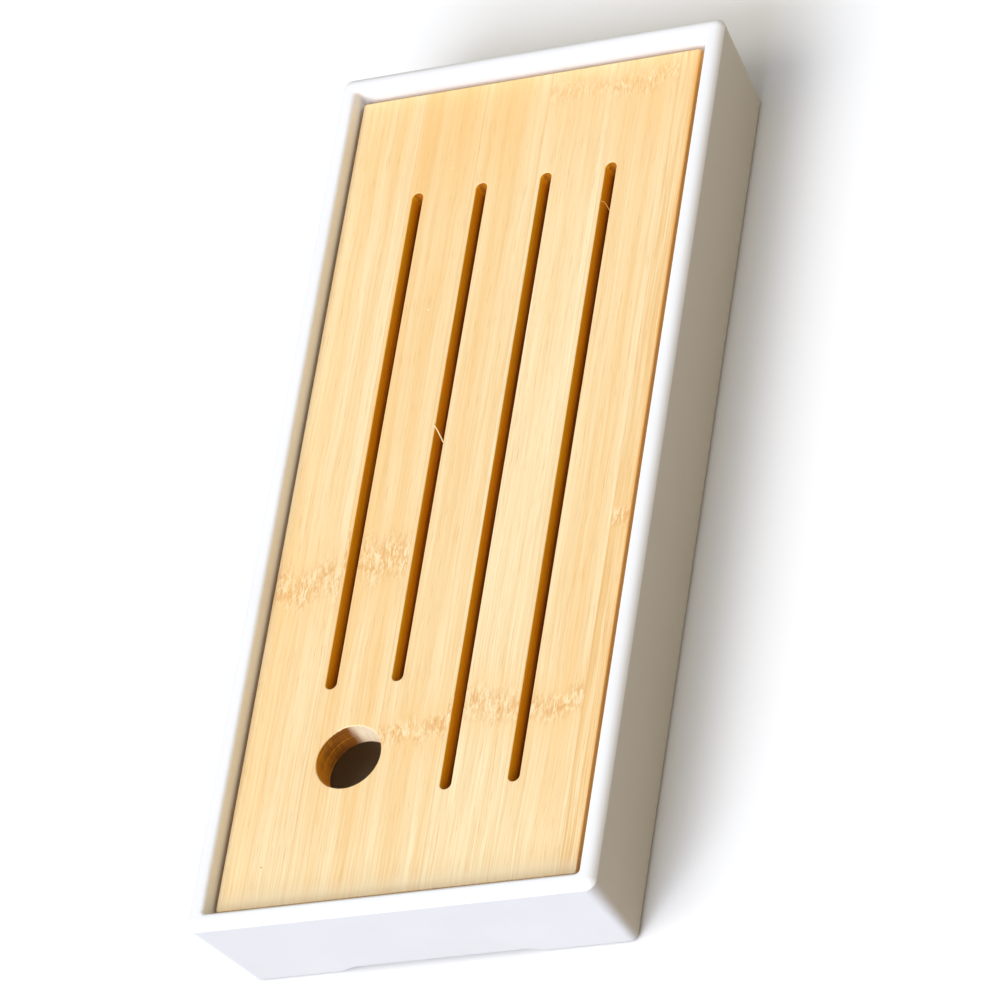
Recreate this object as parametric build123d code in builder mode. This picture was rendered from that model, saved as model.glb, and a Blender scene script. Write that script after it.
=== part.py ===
from build123d import *

import os
from math import atan2, degrees

# Small tea tray: a moulded white basin that stores the rinse water, and a loose
# bamboo board that lies inside its rim, with four drain slots and a finger hole.
# Frame: +X across the tray, +Y along it, +Z up. The origin is the centre of the
# rectangle that the tray stands on.

# Basin, outside
tray_length = 290.0
tray_width = 125.0
tray_height = 37.0
side_draft = 3.5
corner_round = 3.2
foot_corner_round = 2.2
foot_round = 1.4
rim_inset = 2.8
rim_fall = 1.9

# Basin, inside
rim_wall = 5.0
inner_draft = 0.4
inner_corner_round = 1.2
lip_round = 1.2
floor_thickness = 3.4
floor_round = 0.7

# Basin, underside: a foot ring round a shallow recess, open at both short ends
recess_depth = 2.0
ring_width = 6.5
recess_corner_round = 4.0
relief_width = 63.0
relief_run = 5.0
relief_round = 4.0

# Posts moulded with the basin, which carry the board
corner_post = 11.0
side_post_reach = 5.0
side_post_width = 10.0
side_post_spacing = 92.0
post_round = 2.2
post_bite = 1.2

# Silicone pads under the four corners
pad_radius = 5.0
pad_proud = 0.4
pad_seat_depth = 0.6
pad_seat_clearance = 0.3
pad_margin = 1.2
pad_round = 0.4

# Bamboo board
board_thickness = 9.0
board_recess = 4.8
board_side_gap = 2.2
board_end_gap = 2.5
board_corner_round = 0.9
board_arris = 0.4
edge_stave_width = 5.8

# The loose board lies off the middle by these shares of its gaps
side_lie_share = -0.5
end_lie_share = 0.15

# Openings in the board
slot_width = 3.5
slot_past_glue_line = 1.3
slot_from_far_end = 36.4
long_slot_from_near_end = 31.4
short_slot_from_near_end = 68.8
slot_arris = 0.3
finger_hole_radius = 10.0
finger_hole_past_glue_line = 1.8
finger_hole_from_near_end = 45.6
finger_hole_arris = 0.4

# Cuts that open a flat face run this far past it
overrun = 2.0

# Counts
stave_count = 6
slot_count = 4
short_slot_count = 2

# Levels, from the ground up
foot_level = pad_proud
base_level = foot_level + recess_depth
pad_seat_level = base_level + pad_seat_depth
floor_level = base_level + floor_thickness
board_top = tray_height - board_recess
board_bottom = board_top - board_thickness
crease_level = tray_height - rim_fall

# Outside walls are widest at the crease under the rim, and lean in towards the foot
foot_width = tray_width - 2 * side_draft
foot_length = tray_length - 2 * side_draft

# The rim rounds over on an arc that stops short of upright at the crease, so the
# block that it is cut from stands out past the walls by the overhang
rim_round = (rim_inset**2 + rim_fall**2) / (2 * rim_fall)
rim_overhang = rim_round - rim_inset

# The underside
recess_width = foot_width - 2 * ring_width
recess_length = foot_length - 2 * ring_width
relief_top_width = relief_width - 2 * relief_run

# Inside walls lean in by their own draft
inner_depth = tray_height - floor_level
inner_lean = degrees(atan2(inner_draft, inner_depth))
inner_width = tray_width - 2 * rim_wall
inner_length = tray_length - 2 * rim_wall
floor_width = inner_width - 2 * inner_draft
floor_length = inner_length - 2 * inner_draft
floor_corner_round = inner_corner_round - inner_draft

# Sides of the loose board
board_width = inner_width - 2 * board_side_gap
board_length = inner_length - 2 * board_end_gap
board_middle_x = side_lie_share * board_side_gap
board_middle_y = end_lie_share * board_end_gap
board_left = board_middle_x - board_width / 2
board_right = board_middle_x + board_width / 2
board_near = board_middle_y - board_length / 2
board_far = board_middle_y + board_length / 2

# Like staves and one narrow one at the right make up the board
stave_width = (board_width - edge_stave_width) / (stave_count - 1)
glue_lines = [board_left + stave_width * (number + 1) for number in range(stave_count - 1)]

# A slot runs just past each of the first glue lines, and the finger hole reaches
# a little over the second one
slot_lines = [line + slot_past_glue_line + slot_width / 2 for line in glue_lines[:slot_count]]
finger_hole_x = glue_lines[1] + finger_hole_past_glue_line - finger_hole_radius
finger_hole_y = board_near + finger_hole_from_near_end

# The pads stand inside the corners of the recess
pad_inset = ring_width + pad_margin + pad_seat_clearance + pad_radius
pad_x = foot_width / 2 - pad_inset
pad_y = foot_length / 2 - pad_inset

os.makedirs("parts", exist_ok=True)


def finish(piece, name):
    """Label one piece and write it as its own STEP file."""
    piece.part.label = name
    export_step(piece.part, f"parts/{name}.step")


def on_foot_outline(edge):
    """Tell whether both ends of an edge lie on the outside walls."""
    return all(
        abs(end.X) > recess_width / 2 + foot_round
        or abs(end.Y) > recess_length / 2 + foot_round
        for end in edge.vertices()
    )


# Rounded rim, kept from the crease upwards
with BuildPart() as rim:
    with BuildSketch(Plane.XY.offset(foot_level)):
        RectangleRounded(
            tray_width + 2 * rim_overhang,
            tray_length + 2 * rim_overhang,
            corner_round + rim_overhang,
        )
    extrude(amount=tray_height - foot_level)
    fillet(rim.faces().sort_by(Axis.Z)[-1].edges(), rim_round)
    split(bisect_by=Plane.XY.offset(crease_level), keep=Keep.TOP)

# Basin, one moulding
with BuildPart() as basin:
    # Drafted outer body, smaller at the foot than at the crease
    with BuildSketch(Plane.XY.offset(foot_level)):
        RectangleRounded(foot_width, foot_length, foot_corner_round)
    with BuildSketch(Plane.XY.offset(crease_level)):
        RectangleRounded(tray_width, tray_length, corner_round)
    loft(ruled=True)
    add(rim.part)

    # Finger relief through the foot at both short ends
    with BuildSketch(Plane.XZ.offset(-tray_length / 2)):
        with BuildLine():
            Polyline(
                (-relief_width / 2 - relief_run, foot_level - recess_depth),
                (-relief_top_width / 2, base_level),
                (relief_top_width / 2, base_level),
                (relief_width / 2 + relief_run, foot_level - recess_depth),
                close=True,
            )
        make_face()
    extrude(amount=tray_length, mode=Mode.SUBTRACT)
    low_edges = basin.edges().filter_by_position(Axis.Z, foot_level, base_level)
    bends = low_edges.filter_by(Axis.Y).filter_by_position(
        Axis.X, -recess_width / 2, recess_width / 2
    )
    fillet(bends, relief_round)

    # Shallow recess in the underside, which leaves the foot ring standing
    with BuildSketch(Plane.XY.offset(foot_level - overrun)):
        RectangleRounded(recess_width, recess_length, recess_corner_round)
    extrude(amount=overrun + recess_depth, mode=Mode.SUBTRACT)

    # Soft edge all round the foot
    low_edges = basin.edges().filter_by_position(Axis.Z, foot_level, base_level)
    fillet(low_edges.filter_by(on_foot_outline), foot_round)

    # Seats for the pads
    with BuildSketch(Plane.XY.offset(base_level - overrun)):
        with GridLocations(2 * pad_x, 2 * pad_y, 2, 2):
            Circle(pad_radius + pad_seat_clearance)
    extrude(amount=overrun + pad_seat_depth, mode=Mode.SUBTRACT)

    # Water space, from the floor up through the rim
    with BuildSketch(Plane.XY.offset(floor_level)):
        RectangleRounded(floor_width, floor_length, floor_corner_round)
    extrude(amount=inner_depth + overrun, taper=-inner_lean, mode=Mode.SUBTRACT)
    floor_face = basin.faces().filter_by(Axis.Z).sort_by(Axis.Z)[-2]
    fillet(floor_face.outer_wire().edges(), floor_round)

    # Posts in the corners and along the long walls
    with BuildSketch(Plane.XY.offset(floor_level)):
        corner_size = corner_post + post_bite
        with GridLocations(
            floor_width - corner_post + post_bite,
            floor_length - corner_post + post_bite,
            2,
            2,
        ):
            RectangleRounded(corner_size, corner_size, post_round)
        with GridLocations(
            floor_width - side_post_reach + post_bite, side_post_spacing, 2, 2
        ):
            RectangleRounded(side_post_reach + post_bite, side_post_width, post_round)
    extrude(amount=board_bottom - floor_level)

    # Rounded lip inside the rim
    fillet(basin.faces().sort_by(Axis.Z)[-1].inner_wires()[0].edges(), lip_round)

finish(basin, "basin")

# Pads, round and a little softer at their lower edge
for end_name, end_sign in (("front", -1), ("back", 1)):
    for side_name, side_sign in (("left", -1), ("right", 1)):
        with BuildPart() as pad:
            with BuildSketch(Plane.XY):
                with Locations((side_sign * pad_x, end_sign * pad_y)):
                    Circle(pad_radius)
            extrude(amount=pad_seat_level)
            fillet(pad.edges().sort_by(Axis.Z)[0], pad_round)
        finish(pad, f"pad_{end_name}_{side_name}")

# Whole board, before it is told apart into its staves
with BuildPart() as board:
    with BuildSketch(Plane.XY.offset(board_bottom)):
        with Locations((board_middle_x, board_middle_y)):
            RectangleRounded(board_width, board_length, board_corner_round)
    extrude(amount=board_thickness)
    flat_faces = board.faces().filter_by(Axis.Z)
    fillet(flat_faces.edges(), board_arris)

    # Drain slots, the first ones cut short to leave room for the finger hole
    slot_far = board_far - slot_from_far_end
    for number, slot_x in enumerate(slot_lines):
        near_margin = long_slot_from_near_end
        if number < short_slot_count:
            near_margin = short_slot_from_near_end
        slot_near = board_near + near_margin
        with BuildSketch(Plane.XY.offset(board_bottom - overrun)):
            with Locations((slot_x, (slot_near + slot_far) / 2)):
                SlotOverall(slot_far - slot_near, slot_width, rotation=90)
        extrude(amount=board_thickness + 2 * overrun, mode=Mode.SUBTRACT)
        fillet(board.edges(Select.LAST).filter_by(Plane.XY), slot_arris)

    # Finger hole
    with BuildSketch(Plane.XY.offset(board_bottom - overrun)):
        with Locations((finger_hole_x, finger_hole_y)):
            Circle(finger_hole_radius)
    extrude(amount=board_thickness + 2 * overrun, mode=Mode.SUBTRACT)
    fillet(board.edges(Select.LAST).filter_by(GeomType.CIRCLE), finger_hole_arris)

# Staves, glued edge to edge, from the left side to the right
borders = [board_left] + glue_lines + [board_right]
for number, (left, right) in enumerate(zip(borders, borders[1:]), start=1):
    with BuildPart() as stave:
        add(board.part)
        with BuildSketch(Plane.XY.offset(board_bottom)):
            with Locations(((left + right) / 2, board_middle_y)):
                Rectangle(right - left, board_length)
        extrude(amount=board_thickness, mode=Mode.INTERSECT)
    finish(stave, f"stave_{number}")
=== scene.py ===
import math

import bpy
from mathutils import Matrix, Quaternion, Vector


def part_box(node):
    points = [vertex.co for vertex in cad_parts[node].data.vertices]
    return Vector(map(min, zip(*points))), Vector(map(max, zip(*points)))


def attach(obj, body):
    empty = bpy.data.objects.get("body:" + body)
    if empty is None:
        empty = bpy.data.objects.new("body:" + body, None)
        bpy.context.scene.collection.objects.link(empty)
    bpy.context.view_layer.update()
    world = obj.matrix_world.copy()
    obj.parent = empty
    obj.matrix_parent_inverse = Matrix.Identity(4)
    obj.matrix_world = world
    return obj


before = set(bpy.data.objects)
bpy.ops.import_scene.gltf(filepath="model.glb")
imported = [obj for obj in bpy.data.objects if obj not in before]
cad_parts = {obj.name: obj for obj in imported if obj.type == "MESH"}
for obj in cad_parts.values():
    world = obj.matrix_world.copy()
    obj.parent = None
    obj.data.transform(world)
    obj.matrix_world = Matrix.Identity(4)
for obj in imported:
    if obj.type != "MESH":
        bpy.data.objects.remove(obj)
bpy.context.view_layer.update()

MM = 0.001

# The camera looks at the middle of the tray from the front right, well above it, and
# is rolled to the left. Its lens and its sensor are given in millimetres, as a camera's are
AIM = Vector((4.0, -2.2, 18.0)) * MM
CAMERA_DISTANCE = 1888.4 * MM
CAMERA_AZIMUTH = math.radians(39.55)
CAMERA_ELEVATION = math.radians(47.19)
CAMERA_ROLL = math.radians(-39.01)
CAMERA_LENS = 239.0
SENSOR_WIDTH = 36.0

# The floor's width in metres, how bright the floor and the world look, and how bright
# they are where they only light the tray
FLOOR_SIZE = 12.0
FLOOR_SEEN = (0.98, 0.98, 0.98, 1.0)
FLOOR_LIGHT = (0.17, 0.12, 0.07, 1.0)
WORLD_SEEN = (1.0, 1.0, 1.0, 1.0)
WORLD_LIGHT = (0.15, 0.15, 0.15, 1.0)

# Staves are numbered from the left. The last one is narrow, and its streaks are stronger
# by this factor
NARROW_STAVE = 6
NARROW_STREAKS = 2.3

# Noise differs from stave to stave by this step of its seed
SEED_STEP = 13.0

# How much of the warm tone each stave has on the whole
WARMTH = {1: 0.33, 2: 0.57, 3: 0.46, 4: 0.16, 5: 0.42, 6: 0.56}

# Knuckles in each stave: how far from the near end of the board each one lies, how far
# its marks reach to both sides, in millimetres, and how strong they are
KNUCKLES = {
    1: ((104.3, 10.0, 1.0),),
    2: ((112.0, 12.0, 1.0),),
    3: ((51.8, 6.0, 1.0),),
    4: ((57.8, 9.0, 1.0), (267.5, 6.0, 0.5)),
    5: ((54.3, 7.0, 1.0), (266.0, 7.0, 0.6)),
    6: ((113.3, 5.0, 1.0),),
}

# Small brown and pale specks in a stave: how far to the right of the tray's middle, how
# far along from it, and their size, in millimetres
BROWN_SPECKS = {1: ((-44.3, -124.4, 0.7),)}
PALE_SPECKS = {2: ((-22.3, 108.7, 0.6), (-22.1, 58.4, 0.8))}

# Finger hole: its radius, how far it reaches past the glue line between the second and
# the third stave, and how far its middle lies from the near end, in millimetres
HOLE_RADIUS = 10.0
HOLE_PAST_GLUE_LINE = 1.8
HOLE_FROM_NEAR_END = 45.6

# Painted shade down in the water space: how far inside the basin's sides it ends, and its
# lowest and highest level, in millimetres
SHADE_INSET = 4.8
SHADE_BOTTOM = 4.0
SHADE_TOP = 15.0

# Loose fibres across the slots: points to the right, along and above the board's top,
# and their thickness, in millimetres
MIDDLE_FIBRE = ((-13.6, 17.4, 0.1), (-12.6, 16.0, 0.3), (-10.9, 13.2, 0.1), (-9.6, 10.8, 0.1))
MIDDLE_FIBRE_THICKNESS = 0.4
FAR_FIBRE = ((28.8, 88.3, -0.3), (29.9, 87.7, 0.1), (31.4, 85.8, 0.2), (32.3, 84.0, -0.2))
FAR_FIBRE_THICKNESS = 0.22


def colour(red, green, blue):
    """A colour given as a picture shows it, from 0 to 255, as a shader takes it."""
    shown = [part / 255 for part in (red, green, blue)]
    linear = [
        part / 12.92 if part <= 0.04045 else ((part + 0.055) / 1.055) ** 2.4
        for part in shown
    ]
    return (*linear, 1.0)


# Bamboo as it grew, and painted light at the board's near end that lifts the front rim's shadow
PALE = colour(252, 233, 188)
WARM = colour(247, 205, 140)
FIBRE = colour(229, 176, 98)
BROWN = colour(219, 152, 76)
ORANGE_EDGE = colour(226, 156, 62)
PAINTED_NEAR_END_LIGHT = colour(255, 240, 212)

# Walls that the cutter left in the slots, with painted shade at their ends and deeper down
SLOT_CUT = colour(255, 202, 24)
DARK_SLOT_CUT = colour(252, 174, 10)
SLOT_END_SHADE = colour(168, 98, 10)
SLOT_DEPTH_SHADE = colour(140, 62, 8)

# Walls that the cutter left in the finger hole: brown, partly their own colour and partly painted
# shade, and pale as painted light where the key lamp falls. The pale one also colours the pale specks
SHADED_HOLE_CUT = colour(236, 156, 20)
DARK_SHADED_HOLE_CUT = colour(134, 76, 6)
PALE_SPECK_AND_LIT_CUT = colour(255, 240, 214)
DARK_LIT_HOLE_CUT = colour(232, 196, 140)

# Loose fibres, each between two colours
PALE_HAIR = (colour(250, 230, 184), colour(240, 212, 156))
TAN_HAIR = (colour(216, 160, 84), colour(196, 138, 62))

# Basin, the painted shade down in it, and pads
PLASTIC = colour(243, 243, 243)
BRIGHT_PLASTIC = colour(246, 246, 247)
INSIDE_SHADE = colour(226, 212, 188)
DARK_INSIDE_SHADE = colour(210, 192, 162)
SILICONE = colour(222, 222, 218)
DARK_SILICONE = colour(206, 206, 201)


class Value:
    """A node's output that can be used in sums: each operator adds one Math node."""

    def __init__(self, paint, socket):
        self.paint = paint
        self.socket = socket

    def __add__(self, other):
        return self.paint.sum("ADD", self, other)

    __radd__ = __add__

    def __sub__(self, other):
        return self.paint.sum("SUBTRACT", self, other)

    def __rsub__(self, other):
        return self.paint.sum("SUBTRACT", other, self)

    def __mul__(self, other):
        return self.paint.sum("MULTIPLY", self, other)

    __rmul__ = __mul__

    def __abs__(self):
        return self.paint.sum("ABSOLUTE", self)


class Paint:
    """The nodes of one material or of the world."""

    def __init__(self, owner):
        owner.use_nodes = True
        self.tree = owner.node_tree
        self.owner = owner

    def node(self, kind, settings, sockets, output=0):
        """Add a node, first its settings, then its sockets' values or links."""
        made = self.tree.nodes.new(kind)
        for name, value in settings.items():
            setattr(made, name, value)
        self.fill(made, sockets)
        return Value(self, made.outputs[output])

    def fill(self, node, sockets):
        """Set or link the sockets of a node."""
        for name, value in sockets.items():
            if isinstance(value, Value):
                self.tree.links.new(value.socket, node.inputs[name])
            else:
                node.inputs[name].default_value = value

    def sum(self, operation, *terms):
        """One Math node."""
        return self.node("ShaderNodeMath", {"operation": operation}, dict(enumerate(terms)))

    def smooth(self, value, start, end):
        """Go smoothly from 0 where the value is at the start to 1 where it is at the end."""
        return self.node(
            "ShaderNodeMapRange",
            {"interpolation_type": "SMOOTHSTEP"},
            {"Value": value, "From Min": start, "From Max": end},
        )

    def ramp(self, length, start, end):
        """The same for a length, with the start and the end in millimetres."""
        return self.smooth(length, start * MM, end * MM)

    def mix(self, share, first, second):
        """Blend two colours, with this share of the second. A Mix node's colours are its
        sockets 6 and 7, and its output 2."""
        return self.node("ShaderNodeMix", {"data_type": "RGBA"}, {0: share, 6: first, 7: second}, 2)

    def coordinates(self, output):
        """Where a point is on the object, or which way the surface faces there."""
        return self.node("ShaderNodeTexCoord", {}, {}, output)

    def split(self, vector):
        """The three numbers of a vector."""
        parts = self.node("ShaderNodeSeparateXYZ", {}, {"Vector": vector})
        return [Value(self, out) for out in parts.socket.node.outputs]

    def join(self, x, y, z):
        """A vector of three numbers."""
        return self.node("ShaderNodeCombineXYZ", {}, {0: x, 1: y, 2: z})

    def distance(self, x, y):
        """How far a point with these two offsets lies away."""
        return self.sum("SQRT", x * x + y * y)

    def noise(self, point, grain, seed, detail=2.0, roughness=0.5, distortion=0.0):
        """Soft noise from 0 to 1 with spots of the given size in millimetres each way."""
        moved = self.node(
            "ShaderNodeMapping",
            {},
            {
                "Vector": point,
                "Location": (seed, 1.7 * seed, 0.6 * seed),
                "Scale": [1 / (size * MM) for size in grain],
            },
        )
        return self.node(
            "ShaderNodeTexNoise",
            {"noise_dimensions": "3D"},
            {
                "Vector": moved,
                "Scale": 1.0,
                "Detail": detail,
                "Roughness": roughness,
                "Distortion": distortion,
            },
        )

    def bump(self, height, depth):
        """A surface normal for a relief whose full height is the depth in millimetres."""
        return self.node(
            "ShaderNodeBump", {}, {"Height": height, "Strength": 1.0, "Distance": depth * MM}
        )


def material(name):
    """The painter of a new material, and its Principled shader."""
    made = bpy.data.materials.new(name)
    paint = Paint(made)
    return paint, paint.tree.nodes["Principled BSDF"]


class Bamboo:
    """The bamboo of one stave: long fibres, knuckle bands, and brown cut walls with painted shade and a
    painted highlight.
    """

    def __init__(self, number):
        self.number = number
        self.low, self.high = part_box(f"stave_{number}")
        self.paint, self.surface = material(f"bamboo_{number}")
        self.spot = self.paint.coordinates("Object")
        self.x, self.y, self.z = self.paint.split(self.spot)
        self.facing_x, self.facing_y, self.facing_z = self.paint.split(self.paint.coordinates("Normal"))
        self.find_knuckles()
        self.find_fibres()

    def noise(self, point, grain, turn, **settings):
        """Noise that differs from stave to stave, and from turn to turn."""
        return self.paint.noise(point, grain, SEED_STEP * self.number + turn, **settings)

    def find_knuckles(self):
        """Bands at the knuckles, which wander across the stave, each in a wider warm haze."""
        paint = self.paint
        wander = self.noise(self.spot, (9, 400, 60), turn=0) - 0.5
        self.band = 0.0
        self.haze = 0.0
        for place, reach, strength in KNUCKLES[self.number]:
            away = abs(self.y - (self.low.y + place * MM) - wander * (2 * reach * MM))
            band = (1 - paint.ramp(away, 0.1 * reach, reach)) * strength
            haze = (1 - paint.ramp(away, 0.5 * reach, 2.2 * reach)) * strength
            self.band = band + self.band
            self.haze = haze + self.haze

    def find_fibres(self):
        """Fibres of four sizes along the stave, which waver a little, most at a knuckle."""
        paint = self.paint
        waver = (self.noise(self.spot, (30, 45, 30), turn=3) - 0.5) * (2.2 * MM)
        crimp = (self.noise(self.spot, (3, 5, 3), turn=4) - 0.5) * (2.5 * MM) * self.band
        along = paint.join(self.x + waver + crimp, self.y, self.z)
        broad = self.noise(along, (7, 260, 7), turn=5)
        middle = self.noise(along, (1.6, 90, 1.6), turn=6)
        fine = self.noise(along, (0.45, 34, 0.45), turn=7, detail=3.0)
        dashes = self.noise(along, (0.32, 9, 0.32), turn=8, detail=1.0)
        self.broad = paint.smooth(broad, 0.3, 0.7)
        self.middle = paint.smooth(middle, 0.35, 0.7)
        self.fine = paint.smooth(fine, 0.35, 0.7)
        self.dashes = paint.smooth(dashes, 0.6, 0.75)

    def make(self):
        """Put the layers together and return the finished material."""
        tone = self.streaked()
        tone = self.with_knuckles(tone)
        tone = self.with_edges(tone)
        tone = self.with_specks(tone)
        tone = self.with_shaded_underside(tone)
        upright = 1 - self.paint.smooth(abs(self.facing_z), 0.3, 0.85)
        tone = self.paint.mix(upright, tone, self.walls(tone))
        relief = self.fine * 0.6 + self.dashes * 0.5 + self.middle * 0.4
        self.paint.fill(
            self.surface,
            {
                "Base Color": tone,
                "Roughness": 0.5 + self.fine * 0.12 + upright * 0.1,
                "Normal": self.paint.bump(relief, 0.02),
                "IOR": 1.45,
            },
        )
        return self.paint.owner

    def streaked(self):
        """Pale and warm streaks, warmer at the far end and paler at the near end, partly in tone and
        partly as painted light that lifts the front rim's shadow.
        """
        paint = self.paint
        warmer = paint.ramp(self.y, 80, 130) * 0.22
        # The near end is paler, partly in tone and partly as painted light against the front rim's
        # shadow
        paler_with_painted_light = paint.ramp(self.y, -95, -132) * 0.28
        warmth = (self.broad - 0.5) * 0.5 + WARMTH[self.number] + warmer - paler_with_painted_light
        tone = paint.mix(warmth, PALE, WARM)

        # The fine streaks fade towards the far end
        strength = NARROW_STREAKS if self.number == NARROW_STAVE else 1.0
        tone = paint.mix(self.middle * (0.22 * strength), tone, FIBRE)
        tone = paint.mix(self.fine * (0.27 * strength - self.y * 0.7), tone, FIBRE)
        return paint.mix(self.dashes * 0.3, tone, BROWN)

    def with_knuckles(self, tone):
        """A warm haze at each knuckle, with brown and pale ticks in its band."""
        paint = self.paint
        ticks = self.noise(
            self.spot, (1.0, 3.6, 1.2), turn=2, detail=3.0, roughness=0.6, distortion=1.0
        )
        brown = self.band * (paint.smooth(ticks, 0.45, 0.65) * 0.5 + 0.1)
        pale = self.band * (1 - paint.smooth(ticks, 0.35, 0.5)) * 0.85
        tone = paint.mix(self.haze * 0.35, tone, WARM)
        tone = paint.mix(brown, tone, BROWN)
        return paint.mix(pale, tone, PALE)

    def with_edges(self, tone):
        """Painted light at the near end that lifts the front rim's shadow, a thin line of glue at each
        long side, and an orange strip at the narrow stave's right side.
        """
        paint = self.paint
        # Painted light: the last few millimetres of the near end are paler, to lift the front rim's
        # shadow
        tone = paint.mix(paint.ramp(self.y, -130, -137) * 0.45, tone, PAINTED_NEAR_END_LIGHT)
        from_glue = paint.sum("MINIMUM", self.x - self.low.x, self.high.x - self.x)
        glue = 1 - paint.ramp(from_glue, 0.05, 0.3)
        tone = paint.mix(glue * 0.2, tone, BROWN)

        # The narrow stave is more orange at its right side, over 0.3 mm of it at the near end
        # to 1.5 mm at the far end
        if self.number == NARROW_STAVE:
            width = self.y * 0.0044 + 0.9 * MM
            orange_edge = 1 - paint.smooth(self.high.x - self.x, 0.0, width)
            tone = paint.mix(orange_edge * 0.8, tone, ORANGE_EDGE)
        return tone

    def with_specks(self, tone):
        """Small round specks in the face."""
        paint = self.paint
        for specks, mark, strength in ((BROWN_SPECKS, BROWN, 0.9), (PALE_SPECKS, PALE_SPECK_AND_LIT_CUT, 0.8)):
            for right, along, size in specks.get(self.number, ()):
                away = paint.distance(self.x - right * MM, self.y - along * MM)
                speck = 1 - paint.ramp(away, 0.2 * size, 0.6 * size)
                tone = paint.mix(speck * strength, tone, mark)
        return tone

    def with_shaded_underside(self, tone):
        """The underside is darker: painted shade, which also keeps the water space below the board
        dark.
        """
        # Painted shade on the faces that look down
        downwards = self.paint.smooth(self.facing_z, -0.5, -0.9)
        return self.paint.mix(downwards * 0.3, tone, BROWN)

    def walls(self, tone):
        """The upright faces: the board's outer sides and, in the staves between, the cuts."""
        outer = self.outer_walls(tone)
        if self.number in (1, NARROW_STAVE):
            return outer
        paint = self.paint
        rings = self.noise(self.spot, (30, 30, 0.9), turn=11)
        hole_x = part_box("stave_2")[1].x + (HOLE_PAST_GLUE_LINE - HOLE_RADIUS) * MM
        hole_y = self.low.y + HOLE_FROM_NEAR_END * MM
        from_hole = paint.distance(self.x - hole_x, self.y - hole_y)
        in_hole = 1 - paint.ramp(from_hole, HOLE_RADIUS + 0.6, HOLE_RADIUS + 1.2)
        cut = paint.mix(in_hole, self.slot_walls(rings), self.hole_wall(rings))
        from_end = paint.sum("MINIMUM", self.y - self.low.y, self.high.y - self.y)
        return paint.mix(paint.ramp(from_end, 1.0, 2.0), outer, cut)

    def outer_walls(self, tone):
        """The long sides show the grain a little darker, and the ends show its pores."""
        paint = self.paint
        pores = paint.smooth(self.noise(self.spot, (0.5, 4, 0.5), turn=12), 0.45, 0.65)
        side = paint.mix(self.middle * 0.2 + 0.15, tone, FIBRE)
        end = paint.mix(pores * 0.45 + 0.15, tone, BROWN)
        return paint.mix(paint.smooth(abs(self.facing_y), 0.5, 0.9), side, end)

    def slot_walls(self, rings):
        """The slots are golden brown, with painted shade at their ends and deeper down."""
        paint = self.paint
        cut = paint.mix(self.middle * 0.6 + self.fine * 0.4, SLOT_CUT, DARK_SLOT_CUT)
        # Painted shade on the slots' end walls
        shaded_end = paint.smooth(rings * 0.5 + abs(self.facing_y), 0.6, 1.1)
        cut = paint.mix(shaded_end * 0.9, cut, SLOT_END_SHADE)
        # Painted shade: darker deeper down in the slot
        depth = self.high.z - self.z + (rings - 0.5) * (2.4 * MM)
        return paint.mix(paint.ramp(depth, 2.6, 6.0) * 0.9, cut, SLOT_DEPTH_SHADE)

    def hole_wall(self, rings):
        """The finger hole is brown with dark rings, partly its own colour and partly painted shade,
        darker as painted shade where it faces the near end, and pale as painted light in the part that
        faces left, towards the key lamp.
        """
        paint = self.paint
        streaks = self.noise(self.spot, (0.7, 0.7, 4), turn=10, detail=3.0)
        # Painted shade: darker where the wall faces the near end, with the dark rings and streaks
        rings_and_shade = paint.smooth(rings + streaks * 0.4 - self.facing_y * 0.5, 0.6, 1.15)
        brown = paint.mix(rings_and_shade, SHADED_HOLE_CUT, DARK_SHADED_HOLE_CUT)
        marks = paint.smooth(streaks, 0.3, 0.7) * 0.4 + rings * 0.4
        painted_lit = paint.mix(marks, PALE_SPECK_AND_LIT_CUT, DARK_LIT_HOLE_CUT)
        # Painted light: the part that faces left, towards the key lamp, is pale
        lit_side = paint.smooth((streaks - 0.5) * 0.3 - self.facing_x, -0.3, 0.05)
        return paint.mix(lit_side, brown, painted_lit)


def painted_inside_shade(paint, spot):
    """Painted shade down in the water space: where it is, and its colour."""
    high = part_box("basin")[1]
    x, y, z = paint.split(spot)
    clouds = paint.noise(spot, (18, 26, 6), 3.0, detail=4.0, roughness=0.6)
    from_side = high.x - SHADE_INSET * MM - abs(x)
    from_end = high.y - SHADE_INSET * MM - abs(y)
    from_top = SHADE_TOP * MM - z + (clouds - 0.5) * (3 * MM)
    inside = paint.ramp(from_side, 0.0, 0.4) * paint.ramp(from_end, 0.0, 0.4)
    # Painted shade: darker low in the basin, between the lowest and the highest level
    low_down = paint.ramp(from_top, 0.0, 5.0) * paint.ramp(z, SHADE_BOTTOM, SHADE_BOTTOM + 1)
    return inside * low_down, paint.mix(clouds, INSIDE_SHADE, DARK_INSIDE_SHADE)


def white_plastic():
    """White moulded plastic, satin, with painted shade down inside the water space."""
    paint, surface = material("white_plastic")
    spot = paint.coordinates("Object")
    grain = paint.noise(spot, (0.35, 0.35, 0.35), 1.0, detail=3.0, roughness=0.6)
    flow = paint.noise(spot, (26, 40, 26), 2.0)
    tone = paint.mix(paint.smooth(flow, 0.3, 0.7), PLASTIC, BRIGHT_PLASTIC)
    share, inside_shade = painted_inside_shade(paint, spot)
    paint.fill(
        surface,
        {
            "Base Color": paint.mix(share, tone, inside_shade),
            "Roughness": 0.36 + grain * 0.12 + flow * 0.06,
            "Normal": paint.bump(grain * 0.1 + flow, 0.03),
            "IOR": 1.49,
        },
    )
    return paint.owner


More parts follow.
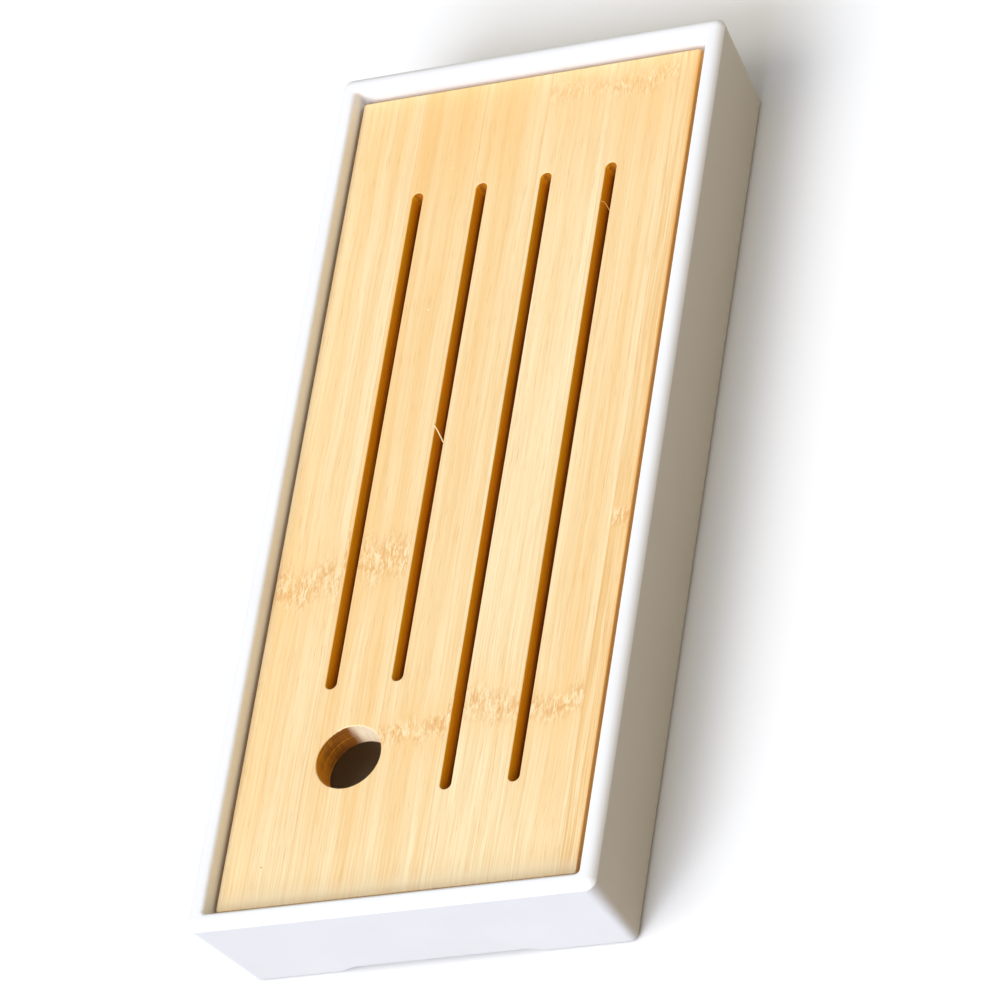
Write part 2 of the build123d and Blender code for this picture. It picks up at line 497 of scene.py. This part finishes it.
def silicone():
    """Matt grey-white silicone with fine dust in its skin."""
    paint, surface = material("silicone")
    spot = paint.coordinates("Object")
    grain = paint.noise(spot, (0.25, 0.25, 0.25), 5.0, detail=3.0)
    cloud = paint.noise(spot, (2.5, 2.5, 2.5), 6.0)
    paint.fill(
        surface,
        {
            "Base Color": paint.mix(cloud, SILICONE, DARK_SILICONE),
            "Roughness": 0.55 + grain * 0.25,
            "Normal": paint.bump(grain, 0.02),
            "IOR": 1.41,
        },
    )
    return paint.owner


def loose_fibre(name, light, dark):
    """Bamboo fibre between two colours."""
    paint, surface = material(name)
    grain = paint.noise(paint.coordinates("Object"), (0.3, 0.3, 0.3), 9.0)
    tone = paint.mix(grain, light, dark)
    paint.fill(surface, {"Base Color": tone, "Roughness": 0.5 + grain * 0.2})
    return paint.owner


def dress(node, finish):
    """Give a CAD node its finish."""
    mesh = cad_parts[node].data
    mesh.materials.clear()
    mesh.materials.append(finish)


def splinter_line(name, points, thickness):
    """A thin round curve along a few points, which stand on the board's top."""
    board_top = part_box("stave_1")[1].z
    curve = bpy.data.curves.new(name, "CURVE")
    curve.dimensions = "3D"
    curve.bevel_depth = thickness / 2 * MM
    curve.bevel_resolution = 2
    curve.use_fill_caps = True
    spline = curve.splines.new("NURBS")
    spline.points.add(len(points) - 1)
    for point, (x, y, rise) in zip(spline.points, points):
        point.co = (x * MM, y * MM, board_top + rise * MM, 1.0)
    spline.order_u = 3
    spline.use_endpoint_u = True
    return curve


def splinter(name, points, thickness, finish):
    """A loose fibre that lies on the board."""
    drawn = bpy.data.objects.new(name + "_line", splinter_line(name, points, thickness))
    bpy.context.scene.collection.objects.link(drawn)
    bpy.context.view_layer.update()
    graph = bpy.context.evaluated_depsgraph_get()
    mesh = bpy.data.meshes.new_from_object(drawn.evaluated_get(graph))
    bpy.data.objects.remove(drawn)
    mesh.materials.clear()
    mesh.materials.append(finish)
    piece = bpy.data.objects.new(name, mesh)
    bpy.context.scene.collection.objects.link(piece)
    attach(piece, "board")


def sun(name, towards, strength, spread, tint=(1.0, 1.0, 1.0)):
    """A broad far lamp. The strength is the share of white it gives a face square to it."""
    lamp = bpy.data.lights.new(name, "SUN")
    lamp.energy = strength * math.pi
    lamp.angle = math.radians(spread)
    lamp.color = tint
    holder = bpy.data.objects.new(name, lamp)
    holder.rotation_mode = "QUATERNION"
    holder.rotation_quaternion = Vector(towards).to_track_quat("Z", "Y")
    bpy.context.scene.collection.objects.link(holder)


def seen_directly(paint):
    """1 where the camera, a reflection or a view through glass meets the surface."""
    camera_ray = paint.node("ShaderNodeLightPath", {}, {}, "Is Camera Ray")
    rays = camera_ray.socket.node.outputs
    seen = paint.sum("MAXIMUM", camera_ray, Value(paint, rays["Is Glossy Ray"]))
    return paint.sum("MAXIMUM", seen, Value(paint, rays["Is Transmission Ray"]))


def make_world():
    """White where it is seen, and a weak grey light from everywhere."""
    world = bpy.data.worlds.new("studio")
    bpy.context.scene.world = world
    paint = Paint(world)
    tone = paint.mix(seen_directly(paint), WORLD_LIGHT, WORLD_SEEN)
    paint.fill(paint.tree.nodes["Background"], {"Color": tone, "Strength": 1.0})


def make_floor():
    """A wide pale floor, white where it is seen and dimmer where it only lights the tray."""
    bpy.ops.mesh.primitive_plane_add(size=FLOOR_SIZE)
    floor = bpy.context.object
    floor.name = "floor"
    paint, surface = material("floor")
    tone = paint.mix(seen_directly(paint), FLOOR_LIGHT, FLOOR_SEEN)
    paint.fill(surface, {"Base Color": tone, "Roughness": 0.9, "Specular IOR Level": 0.0})
    floor.data.materials.append(paint.owner)


def make_lamps():
    """A key light from the near left, a soft one overhead, and a fill for each side in view."""
    sun("key", (-0.40, -0.48, 0.78), strength=0.42, spread=40, tint=(1.0, 0.97, 0.90))
    sun("overhead", (-0.1, -0.1, 1.0), strength=0.175, spread=50)
    sun("warm_fill", (0.95, 0.1, 0.2), strength=0.235, spread=60, tint=(1.0, 0.79, 0.42))
    sun("cool_fill", (-0.21, -1.0, 0.64), strength=0.86, spread=38, tint=(0.77, 0.84, 1.0))


def make_camera():
    """The photograph's viewpoint, with the camera rolled about its own axis."""
    back = Vector(
        (
            math.sin(CAMERA_AZIMUTH) * math.cos(CAMERA_ELEVATION),
            -math.cos(CAMERA_AZIMUTH) * math.cos(CAMERA_ELEVATION),
            math.sin(CAMERA_ELEVATION),
        )
    )
    lens = bpy.data.cameras.new("camera")
    lens.lens = CAMERA_LENS
    lens.sensor_width = SENSOR_WIDTH
    camera = bpy.data.objects.new("camera", lens)
    camera.location = AIM + back * CAMERA_DISTANCE
    camera.rotation_mode = "QUATERNION"
    level = back.to_track_quat("Z", "Y")
    camera.rotation_quaternion = level @ Quaternion((0.0, 0.0, 1.0), CAMERA_ROLL)
    bpy.context.scene.collection.objects.link(camera)
    bpy.context.scene.camera = camera


# Finishes
plastic = white_plastic()
rubber = silicone()
pale_hair = loose_fibre("pale_fibre", *PALE_HAIR)
tan_hair = loose_fibre("tan_fibre", *TAN_HAIR)
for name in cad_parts:
    if name.startswith("stave"):
        dress(name, Bamboo(int(name.split("_")[1])).make())
    elif name.startswith("pad"):
        dress(name, rubber)
    else:
        dress(name, plastic)

# Two loose fibres across the slots
splinter("fibre_middle", MIDDLE_FIBRE, MIDDLE_FIBRE_THICKNESS, pale_hair)
splinter("fibre_far", FAR_FIBRE, FAR_FIBRE_THICKNESS, tan_hair)

# Light and view
make_world()
make_floor()
make_lamps()
make_camera()
bpy.context.scene.view_settings.view_transform = "Standard"
